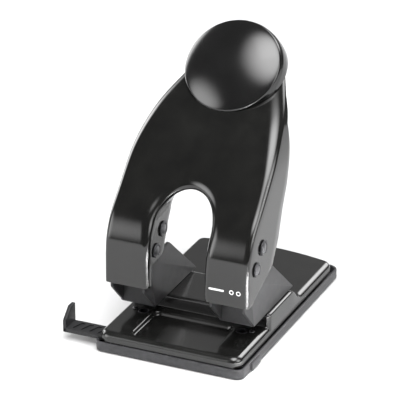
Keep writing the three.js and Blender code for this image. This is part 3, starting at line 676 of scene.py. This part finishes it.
def make_base():
    rows = []
    for y, z, shoulder, stop in base_path():
        half = plan_half(y, BASE_SIDE, BASE_FRONT, BASE_END, BASE_CORNER, BASE_REAR_CORNER)
        row = []
        for x in base_columns(half):
            inside = max(rounded_distance(x, y, BASE_SIDE, BASE_FRONT, BASE_END, BASE_CORNER,
                                          BASE_REAR_CORNER), 0)
            near = max(shoulder - inside, 0)
            top = z - (shoulder - math.sqrt(max(shoulder ** 2 - near ** 2, 0)))
            pan = rounded_distance(x, y, PAN_SIDE, PAN_FRONT, PAN_REAR, PAN_CORNER, PAN_CORNER)
            if z == DECK and y < STOP:
                top -= PAN_DEPTH * smooth_step((pan + PAN_EDGE_OUT) / PAN_EDGE_RUN)
            corner = max(STOP_ROUND - (BASE_SIDE - abs(x)), 0)
            push = stop * (STOP_ROUND - math.sqrt(max(STOP_ROUND ** 2 - corner ** 2, 0)))
            back = y + push - bow(x, BASE_SIDE) * bow_share(y)
            row.append((x, back, top))
        rows.append(row)
    sheet = face_outwards(sheet_grid("base_sheet", rows, BASE_BOTTOM), (0, 0, 1))
    thin = [v.index for v in sheet.data.vertices if v.co.z < (DECK - 1) * MM + UNDER
            and abs(v.co.x) < (PAN_SIDE + 1) * MM and v.co.y > FRONT + (PAN_FRONT - 1) * MM
            and v.co.y < FRONT + (PAN_REAR + 1) * MM]
    group = sheet.vertex_groups.new(name="sheet")
    group.add([v.index for v in sheet.data.vertices], 1, "REPLACE")
    group.add(thin, PAN_THINNING, "REPLACE")
    applied(sheet, "SOLIDIFY", thickness=BASE_SHEET * MM, offset=-1, use_even_offset=False,
            use_quality_normals=True, vertex_group="sheet")
    sheet.vertex_groups.clear()
    for side in (-1, 1):
        x = side * LEG_CENTRE
        cut(sheet, rod(DIE_RADIUS + RUNNING_GAP, 5, 20, (x, PUNCH_LINE, 0)))
        cut(sheet, rod(RIVET_HOLE, 5, 20, (side * RIVET[0], RIVET[1], 0), sides=24))
        for back in SCREW_BACKS:
            cut(sheet, rod(SCREW_HOLE, 20, 30, (x, back, 0), sides=24))
        lug = block("lug", side * LUG_X - 1.5, side * LUG_X + 1.5, HINGE[0] - 3, HINGE[0] + 3,
                    7, 14.4)
        union(sheet, bevelled(lug, 0.5))
    cut(sheet, block("notch", -BASE_SIDE - 5, -BASE_SIDE + 5, RAIL_FRONT - 0.2,
                     RAIL_FRONT + RAIL_DEPTH + 0.2, 0, RAIL_TOP + RUNNING_GAP))
    cut(sheet, rod(HINGE_ROD + RUNNING_GAP, -HINGE_CUT, HINGE_CUT, (0, *HINGE), AXIS_X, 24))
    return settle(sheet, DECK_PAINT, "base", "base_plate", 35)


# ---------- tray ----------
def bowed_plan(half, front, rear, corner, steps=8):
    """Plan loop with rounded corners, its rear edge bowed backwards in the middle."""
    loop = []
    corners = [(half - corner, front + corner, -90), (half - corner, rear - corner, 0),
               (-half + corner, rear - corner, 90), (-half + corner, front + corner, 180)]
    for i, (x, y, start) in enumerate(corners):
        for k in range(steps + 1):
            angle = math.radians(start + 90 * k / steps)
            loop.append((x + corner * math.cos(angle), y + corner * math.sin(angle)))
        if i == 1:
            for k in range(1, 16):
                loop.append(((half - corner) * (1 - k / 8), rear))
        if i in (0, 2):
            ends = (loop[-1][1], corners[(i + 1) % 4][1])
            for k in range(1, 12):
                loop.append((loop[-1][0], ends[0] + (ends[1] - ends[0]) * k / 12))
    return [(x, y - bow(x, TRAY_SIDE) * bow_share(y)) for x, y in loop]


def tray_ring(inset, height):
    """The tray's plan, inset from its outer edge, at one height."""
    loop = bowed_plan(TRAY_SIDE - inset, inset, TRAY_DEPTH - inset, max(6 - inset, 1.2))
    return [(x, y, height) for x, y in loop]


def foot_places():
    x, rear = TRAY_SIDE - FOOT_INSET, TRAY_DEPTH - REAR_BOW - FOOT_INSET
    return [(-x, FOOT_INSET), (x, FOOT_INSET), (-x, rear), (x, rear)]


def pad_outline(gap, corner, steps=4):
    side, front, rear = PAD_SIDE + gap, PAD_FRONT - gap, PAD_REAR + gap
    return rounded([(-side, front), (side, front), (side, rear), (-side, rear)], corner,
                   steps=steps)


def make_tray():
    rim = TRAY_HEIGHT
    profile = [(1.4, 0), (0.6, 0.16), (0.16, 0.6), (0, 1.4), (0, rim - 0.8), (0.12, rim - 0.34),
               (0.42, rim - 0.06), (0.8, rim), (1.3, rim), (1.7, rim - 0.1), (1.95, rim - 0.4),
               (TRAY_WALL, rim - 0.9), (TRAY_WALL, 2.6), (2.3, 1.95), (3, TRAY_FLOOR)]
    tray = loft("tray_shell", [tray_ring(inset, height) for inset, height in profile])
    cut(tray, block("notch", -TRAY_SIDE - 1, -TRAY_SIDE + 3, RAIL_FRONT - RUNNING_GAP,
                    RAIL_FRONT + RAIL_DEPTH + RUNNING_GAP, RAIL_BOTTOM - RUNNING_GAP, rim + 1))
    root, tip, front, rear = TRAY_SIDE - 0.6, TRAY_SIDE + 1.2, 17, 33
    tab_outline = rounded([(root, front), (tip, front), (tip, rear), (root, rear)],
                          [0, 1.1, 1.1, 0], steps=5)
    union(tray, bevelled(prism("tab", tab_outline, 0.6, 6, "z"), 0.45, 3))
    y, z = HINGE
    for side in (-1, 1):
        post = [(y - 8, 1.2), (y - 2, 1.2), (y + 2.6, z - 1.5)]
        post += [(y + EAR_RADIUS * math.cos(a), z + EAR_RADIUS * math.sin(a))
                 for a in np.linspace(-0.3, math.pi, 14)]
        ear = prism("ear", post, side * EAR_X - EAR_HALF, side * EAR_X + EAR_HALF)
        union(tray, bevelled(ear, 0.35))
    cut(tray, rod(HINGE_ROD + 0.2, -HINGE_CUT, HINGE_CUT, (0, y, z), AXIS_X, 24))
    for x, back in foot_places():
        cut(tray, rod(FOOT_RADIUS + PAD_GAP, -1, 1, (x, back, 0)))
    cut(tray, prism("pad", pad_outline(PAD_GAP, 4.3), -1, 1, "z"))
    settle(tray, TRAY_PLASTIC, "tray", "chip_tray", 32)
    groove = -0.5
    profile = [(0, SOLE), (2.2, SOLE), (2.5, groove), (3.1, groove), (3.4, SOLE), (5, SOLE),
               (5.3, groove), (5.8, groove), (6.1, SOLE), (6.6, SOLE), (6.9, -0.6),
               (FOOT_RADIUS, -0.3), (FOOT_RADIUS, 0.5), (6.8, SOLE_TOP), (0, SOLE_TOP)]
    for i, (x, back) in enumerate(foot_places()):
        foot = turned(f"rubber_foot_{i + 1}", profile, (x, back, 0))
        settle(foot, RUBBER, "tray", f"foot_{i + 1}", 30)
    pad = bevelled(prism("rubber_pad", pad_outline(0, 4, 6), SOLE, SOLE_TOP, "z"), 0.25)
    for back in (92, 96, 100, 104):
        cut(pad, block("groove", -25, 25, back + 0.3, back + 1.7, -1, -0.45))
    settle(pad, RUBBER, "tray", "grip_pad", 30)
    return tray


# ---------- towers and what is in them ----------
def make_tower(word, side):
    centre = side * LEG_CENTRE
    y, z = PIVOT
    outline = rounded([(35.4, TOWER_FOOT), (110, TOWER_FOOT), (61, 69), (40.6, 66.2)],
                      [1.2, 1.5, 2, 4])
    outline.append((39.6, 75.7))
    outline += [(y + TOWER_HEAD * math.cos(a), z + TOWER_HEAD * math.sin(a))
                for a in np.linspace(0.1, 0.8 * math.pi, 16)]
    outline += rounded([(23.3, 81), (18.3, 71.7), (18.3, 45.5), (35.4, TOWER_FOOT)],
                       [0, 3, 1.5, 0], closed=False)[1:-1]
    plates = []
    for x0 in (centre - TOWER_HALF, centre + TOWER_HALF - PLATE):
        plates.append(bevelled(prism(f"tower_body_{word}", outline, x0, x0 + PLATE), 0.3, 2, 50))
    tower = plates[0]
    inner = TOWER_HALF - 1
    web = bevelled(block("web", centre - inner, centre + inner, 35.4, 37.4, 26.31, 60), 0.35)
    floor = bevelled(block("floor", centre - inner, centre + inner, 35.41, 106, 26.32, 28.3), 0.35)
    union(tower, plates[1], web, floor)
    cut(tower, rod(AXLE_HOLE, -15, 15, (centre, y, z), AXIS_X))
    cut(tower, rod(GUIDE_HOLE, 20, 40, (centre, PUNCH_LINE, 0)))
    for back in SCREW_BACKS:
        cut(tower, rod(SCREW_HOLE, 20, 40, (centre, back, 0), sides=24))
    settle(tower, GREY_PAINT, "base", f"tower_{word}", 35)
    for i, back in enumerate(SCREW_BACKS):
        screw = make_screw(f"plate_screw_{word}_{i + 1}", (centre, back, 0), AXIS_Z, 21.2, 28.6)
        settle(screw, DARK_STEEL, "base", f"tower_screw_{word}_{i + 1}")


def make_screw(name, base, basis, end, head):
    """A pan-head screw: plain end, threaded shank, domed head with a cross recess."""
    crest, root, pitch, neck = 2, 1.75, 0.6, 1.9
    profile = [(0, end), (1.5, end), (neck, end + 0.5)]
    ridge = end + 0.7
    while ridge < head - 0.8:
        profile += [(crest, ridge), (root, ridge + pitch / 2)]
        ridge += pitch
    profile += [(neck, head), (3.8, head), (4, head + 0.25), (3.95, head + 1.1),
                (3.6, head + 1.7), (2.7, head + 2.3), (1.5, head + 2.55), (0, head + 2.6)]
    screw = turned(name, profile, base, basis, 40)
    across, up, axis = basis
    for first, second in ((across, up), (up, across)):
        corners = []
        for u, v, w in ((-2, -.35, 1.2), (2, -.35, 1.2), (2, .35, 1.2), (-2, .35, 1.2),
                        (-2.2, -.5, 3), (2.2, -.5, 3), (2.2, .5, 3), (-2.2, .5, 3)):
            corners.append(tuple(Vector(base) + first * u + second * v + axis * (head + w)))
        faces = [(0, 1, 2, 3), (4, 5, 6, 7), (0, 1, 5, 4), (1, 2, 6, 5), (2, 3, 7, 6),
                 (3, 0, 4, 7)]
        cut(screw, new_piece("recess", corners, faces))
    return screw


def make_punch_gear(word, side):
    centre = side * LEG_CENTRE
    place = (centre, PUNCH_LINE, 0)
    guide = rounded([(BORE, 25.1), (5.6, 25.1), (5.6, 28.6), (8, 28.6), (8, 30.2), (5.6, 30.2),
                     (5.6, 44), (BORE, 44)], [.3, .3, 0, .3, .4, .4, .5, .5])
    settle(turned(f"guide_bush_{word}", ring(guide), place), STEEL, "base",
           f"punch_guide_{word}")
    die = rounded([(BORE, 11.8), (5.5, 11.8), (5.5, 13.4), (DIE_RADIUS, 13.4),
                   (DIE_RADIUS, DECK), (BORE, DECK)], [.2, .3, .3, 0, .3, .12])
    settle(turned(f"die_bush_{word}", ring(die), place), DARK_STEEL, "base",
           f"die_{word}")
    head = [(0, 11.7), (0.9, 11.7), (1.2, 12), (1.2, 15.8), (2, 15.8), (2.1, 15.95),
            (1.95, 16.25), (1.6, 16.5), (1, 16.66), (0, 16.7)]
    settle(turned(f"rivet_{word}", head, (side * RIVET[0], RIVET[1], 0), sides=32), DARK_STEEL,
           "base", f"deck_rivet_{word}", 40)
    shank = rounded([(0, 26.1), (2.1, 26.1), (PUNCH_RADIUS, 24.9), (PUNCH_RADIUS, 74.1),
                     (7.6, 74.1), (8.9, 74.4), (8.9, 76.3), (3.4, 76.3), (3.4, 81.5), (0, 81.5)],
                    [0, .3, 0, .3, .3, .6, .4, .5, 0, 0], closed=False)
    punch = turned(f"punch_pin_{word}", shank, place)
    outline = rounded([(35.5, 80.3), (56.5, 80.3), (56.5, 96.9), (35.5, 96.9)], 1.6)
    block_head = bevelled(prism("head", outline, centre - 4, centre + 4), 0.5)
    slot = rounded([(38.5, 84.5), (51.7, 84.5), (51.7, 92.7), (38.5, 92.7)], 3.2, steps=6)
    cut(block_head, prism("slot", slot, centre - 6, centre + 6))
    union(punch, block_head)
    settle(punch, STEEL, f"punch_{word}", f"punch_{word}")
    bottom, top, radius, wire = 31.3, 73.0, 6.8, 0.7
    path, turns, steps, closed_share = [], 7, 24, 0.035
    for i in range(turns * steps + 1):
        turn = i / steps
        share = np.interp(turn, [0, 1, turns - 1, turns], [0, closed_share, 1 - closed_share, 1])
        angle = 2 * math.pi * turn
        path.append((centre + radius * math.cos(angle), PUNCH_LINE + radius * math.sin(angle),
                     bottom + (top - bottom) * share))
    spring = swept(f"coil_{word}", path, wire)
    settle(spring, SPRING_STEEL, f"punch_{word}", f"return_spring_{word}")
    top_end = metres([(centre, PUNCH_LINE, top + wire)])[0]
    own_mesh(spring)


def make_axles(word, side):
    centre = side * LEG_CENTRE
    for kind, (y, z), body, clip_radius in (("pivot", PIVOT, "base", 5.6),
                                            ("drive", DRIVE, "lever", 6)):
        half = LEG_HALF + AXLE_PROUD
        line = [(0, -half), (2.2, -half), (AXLE_RADIUS, -half + 0.6), (AXLE_RADIUS, -half + 0.7),
                (GROOVE_RADIUS, -half + 0.8), (GROOVE_RADIUS, -half + 1.3),
                (AXLE_RADIUS, -half + 1.4)]
        line += [(r, -h) for r, h in line[::-1]]
        axle = turned(f"{kind}_pin_{word}", line, (centre, y, z), AXIS_X)
        settle(axle, AXLE_STEEL, body, f"{kind}_axle_{word}", 30)
        for place, end in (("inner", -side), ("outer", side)):
            x = centre + end * (LEG_HALF + CLIP_GAP)
            x0, x1 = sorted((x, x + end * CLIP_THICK))
            outer = [(y + clip_radius * math.cos(a), z + clip_radius * math.sin(a))
                     for a in np.linspace(*np.radians(CLIP_OUTER), 40)]
            inner = [(y + AXLE_HOLE * math.cos(a), z + AXLE_HOLE * math.sin(a))
                     for a in np.linspace(*np.radians(CLIP_INNER), 32)]
            clip = prism(f"{kind}_ring_{word}_{place}", outer + inner, x0, x1)
            bevelled(clip, 0.2, 2, 50)
            settle(clip, DARK_STEEL, body, f"{kind}_clip_{word}_{place}", 30)
    y, z = PIVOT
    for place, end in (("inner", -side), ("outer", side)):
        low, high = sorted((end * (TOWER_HALF + RUNNING_GAP),
                            end * (LEG_HALF - LEVER_SHEET - RUNNING_GAP)))
        washer = rounded([(AXLE_HOLE, low), (6.5, low), (6.5, high), (AXLE_HOLE, high)], 0.3)
        settle(turned(f"washer_{word}_{place}", ring(washer), (centre, y, z), AXIS_X), NYLON,
               "base", f"spacer_{word}_{place}")


def make_small_metal():
    half = HINGE_HALF
    rod_line = [(0, -half), (1.2, -half), (HINGE_ROD, -half + 0.3), (HINGE_ROD, half - 0.3),
                (1.2, half), (0, half)]
    settle(turned("hinge_pin", rod_line, (0, *HINGE), AXIS_X, 32), STEEL, "base",
           "tray_hinge_rod")
    for place, x0, x1, top in (("outer", -48, -38, 13.4), ("inner", -12, 0, 11)):
        front, rear, bottom = 4.2, 23.8, 4.6
        outline = rounded([(front, bottom), (rear, bottom), (rear, top), (front + 2.4, top),
                           (front, top - 2.4)], [1.2, 1.2, 0.6, 0.4, 0.4])
        strip = bevelled(prism(f"rail_loop_{place}", outline, x0, x1), 0.25)
        cut(strip, block("space", x0 - 1, x1 + 1, 5.8, 22.2, 6.2, 9.8))
        settle(strip, STEEL, "base", f"gauge_guide_{place}")
    basis = (AXIS_KNOB[0], -AXIS_KNOB[1], -AXIS_KNOB[2])
    for i, x in enumerate(KNOB_SCREWS):
        screw = make_screw(f"knob_fixing_{i + 1}", (x, *KNOB_CENTRE), basis, 6.2, 13.4)
        settle(screw, DARK_STEEL, "lever", f"knob_screw_{i + 1}")


# ---------- paper gauge ----------
def make_gauge():
    x0, x1, y0, y1 = RAIL_END, RAIL_END + RAIL_LENGTH, RAIL_FRONT, RAIL_FRONT + RAIL_DEPTH
    tab, tab_top, step_back, step_up = 2.6, 24.2, 15, 16.2
    rail = bevelled(block("gauge_rail", x0 + 0.5, x1, y0, y1, RAIL_BOTTOM, RAIL_TOP), 0.4, 2)
    cut(rail, block("hollow", x0 + tab, x1 + 1, y0 + RAIL_SKIN, y1 - RAIL_SKIN,
                    RAIL_BOTTOM - 1, RAIL_TOP - RAIL_SKIN))
    pitch, width, slant, first, margin = 7, 3.6, 3.5, 6, 9
    x = x0 + first
    while x < x1 - margin:
        window = rounded([(x, y0 + 3.2), (x + width, y0 + 3.2), (x + width + slant, y1 - 3),
                          (x + slant, y1 - 3)], 0.8)
        cut(rail, prism("window", window, RAIL_TOP - WINDOW_DEPTH, RAIL_TOP + 1, "z"))
        x += pitch
    lip = block("lip", x0 + 3, x1 - 0.4, y0 + 0.05, y0 + 0.9, RAIL_TOP - 0.3, RAIL_TOP)
    union(rail, lip)
    outline = rounded([(y0, RAIL_BOTTOM), (y1, RAIL_BOTTOM), (y1, tab_top), (step_back, tab_top),
                       (y0, step_up)], [0.4, 0.4, 1, 0.8, 0.8])
    union(rail, bevelled(prism("tab", outline, x0, x0 + tab), 0.4, 3))
    return settle(rail, GAUGE_PLASTIC, "gauge", "paper_gauge", 35)


# ---------- room, light and camera ----------
# Soft lights of the room: direction, outer and inner half angle in degrees, strength
ROOM_LEVEL = 0.13
SOFT_BOXES = [
    ((0.2, -0.22, 0.95), 31, 2, 7.5),
    ((-0.93, 0.27, 0.3), 24, 5, 7.0),
    ((0.85, -0.12, 0.45), 26, 4, 5.0),
    ((0.25, 0.8, 0.55), 24, 4, 7.0),
    ((-0.66, -0.7, 0.26), 25, 3, 4.0),
    ((-0.3, 0.8, 0.48), 24, 6, 0.25),
]


def make_room():
    """The paper that the punch stands on, and a dim room with soft lights around it."""
    size = 6000
    floor = sheet_grid("studio_floor", [[(-size, -size, SOLE), (size, -size, SOLE)],
                                        [(-size, size, SOLE), (size, size, SOLE)]])
    face_outwards(floor, (0, 0, 1))
    floor.data.materials.append(surface("studio_paper", (0.55, 0.55, 0.555), (0.59, 0.59, 0.59),
                                        (0.7, 0.8), 3, 0.02, fine=60, specular=0.2))
    world = bpy.data.worlds.new("studio")
    bpy.context.scene.world = world
    world.use_nodes = True
    nodes, links = world.node_tree.nodes, world.node_tree.links
    background = nodes["Background"]
    background.inputs["Color"].default_value = (1, 1, 1, 1)
    place = nodes.new("ShaderNodeTexCoord")
    total = None
    for direction, outer, inner, strength in SOFT_BOXES:
        facing = nodes.new("ShaderNodeVectorMath")
        facing.operation = "DOT_PRODUCT"
        links.new(place.outputs["Generated"], facing.inputs[0])
        facing.inputs[1].default_value = Vector(direction).normalized()
        glow = nodes.new("ShaderNodeMapRange")
        glow.interpolation_type = "SMOOTHSTEP"
        glow.inputs["From Min"].default_value = math.cos(math.radians(outer))
        glow.inputs["From Max"].default_value = math.cos(math.radians(inner))
        glow.inputs["To Min"].default_value = ROOM_LEVEL if total is None else 0
        glow.inputs["To Max"].default_value = strength
        links.new(facing.outputs["Value"], glow.inputs["Value"])
        if total is None:
            total = glow.outputs["Result"]
            continue
        add = nodes.new("ShaderNodeMath")
        links.new(total, add.inputs[0])
        links.new(glow.outputs["Result"], add.inputs[1])
        total = add.outputs["Value"]
    links.new(total, background.inputs["Strength"])


def make_light(name, place, target, size, power):
    """A rectangular lamp at a place in metres, turned to a target."""
    light = bpy.data.lights.new(name, "AREA")
    light.shape = "RECTANGLE"
    light.size, light.size_y = size
    light.energy = power
    obj = bpy.data.objects.new(name, light)
    obj.location = place
    obj.rotation_euler = (Vector(target) - Vector(place)).to_track_quat("-Z", "Y").to_euler()
    bpy.context.scene.collection.objects.link(obj)
    return obj


def make_lights():
    make_light("key", (0.2, -0.3, 3.2), (0, 0, 0), (1.2, 1.2), 4)
    front = make_light("front_floor", (0.15, -1.2, 1.3), (0.0, -0.75, 0.0), (1.2, 0.8), 26)
    front.visible_glossy = False
    side = make_light("side_floor", (0.2, -0.16, 0.8), (0.2, -0.16, 0.0), (0.1, 0.1), 3.2)
    side.data.spread = math.radians(18)
    side.visible_glossy = False


def make_camera():
    azimuth, elevation, roll, distance = 0.426885, 0.429032, -0.0020, 2.0
    sensor, lens, reach = 36, 240.85, 50
    target = Vector((-0.013885, -0.009, 0.09392))
    back = Vector((math.sin(azimuth) * math.cos(elevation),
                   -math.cos(azimuth) * math.cos(elevation), math.sin(elevation)))
    right = Vector((math.cos(azimuth), math.sin(azimuth), 0))
    up = back.cross(right)
    right, up = (right * math.cos(roll) + up * math.sin(roll),
                 up * math.cos(roll) - right * math.sin(roll))
    data = bpy.data.cameras.new("camera")
    data.sensor_width = sensor
    data.lens = lens
    data.clip_end = reach
    camera = bpy.data.objects.new("camera", data)
    matrix = Matrix((right, up, back)).transposed().to_4x4()
    matrix.translation = target + back * distance
    camera.matrix_world = matrix
    bpy.context.scene.collection.objects.link(camera)
    bpy.context.scene.camera = camera


# ---------- making ----------
make_camera()
make_room()
make_lights()
bpy.context.scene.view_settings.view_transform = "Standard"
make_lever()
make_mark()
make_knob()
make_base()
make_tray()
for side_word, side_sign in (("left", -1), ("right", 1)):
    make_tower(side_word, side_sign)
    make_punch_gear(side_word, side_sign)
    make_axles(side_word, side_sign)
make_small_metal()
make_gauge()
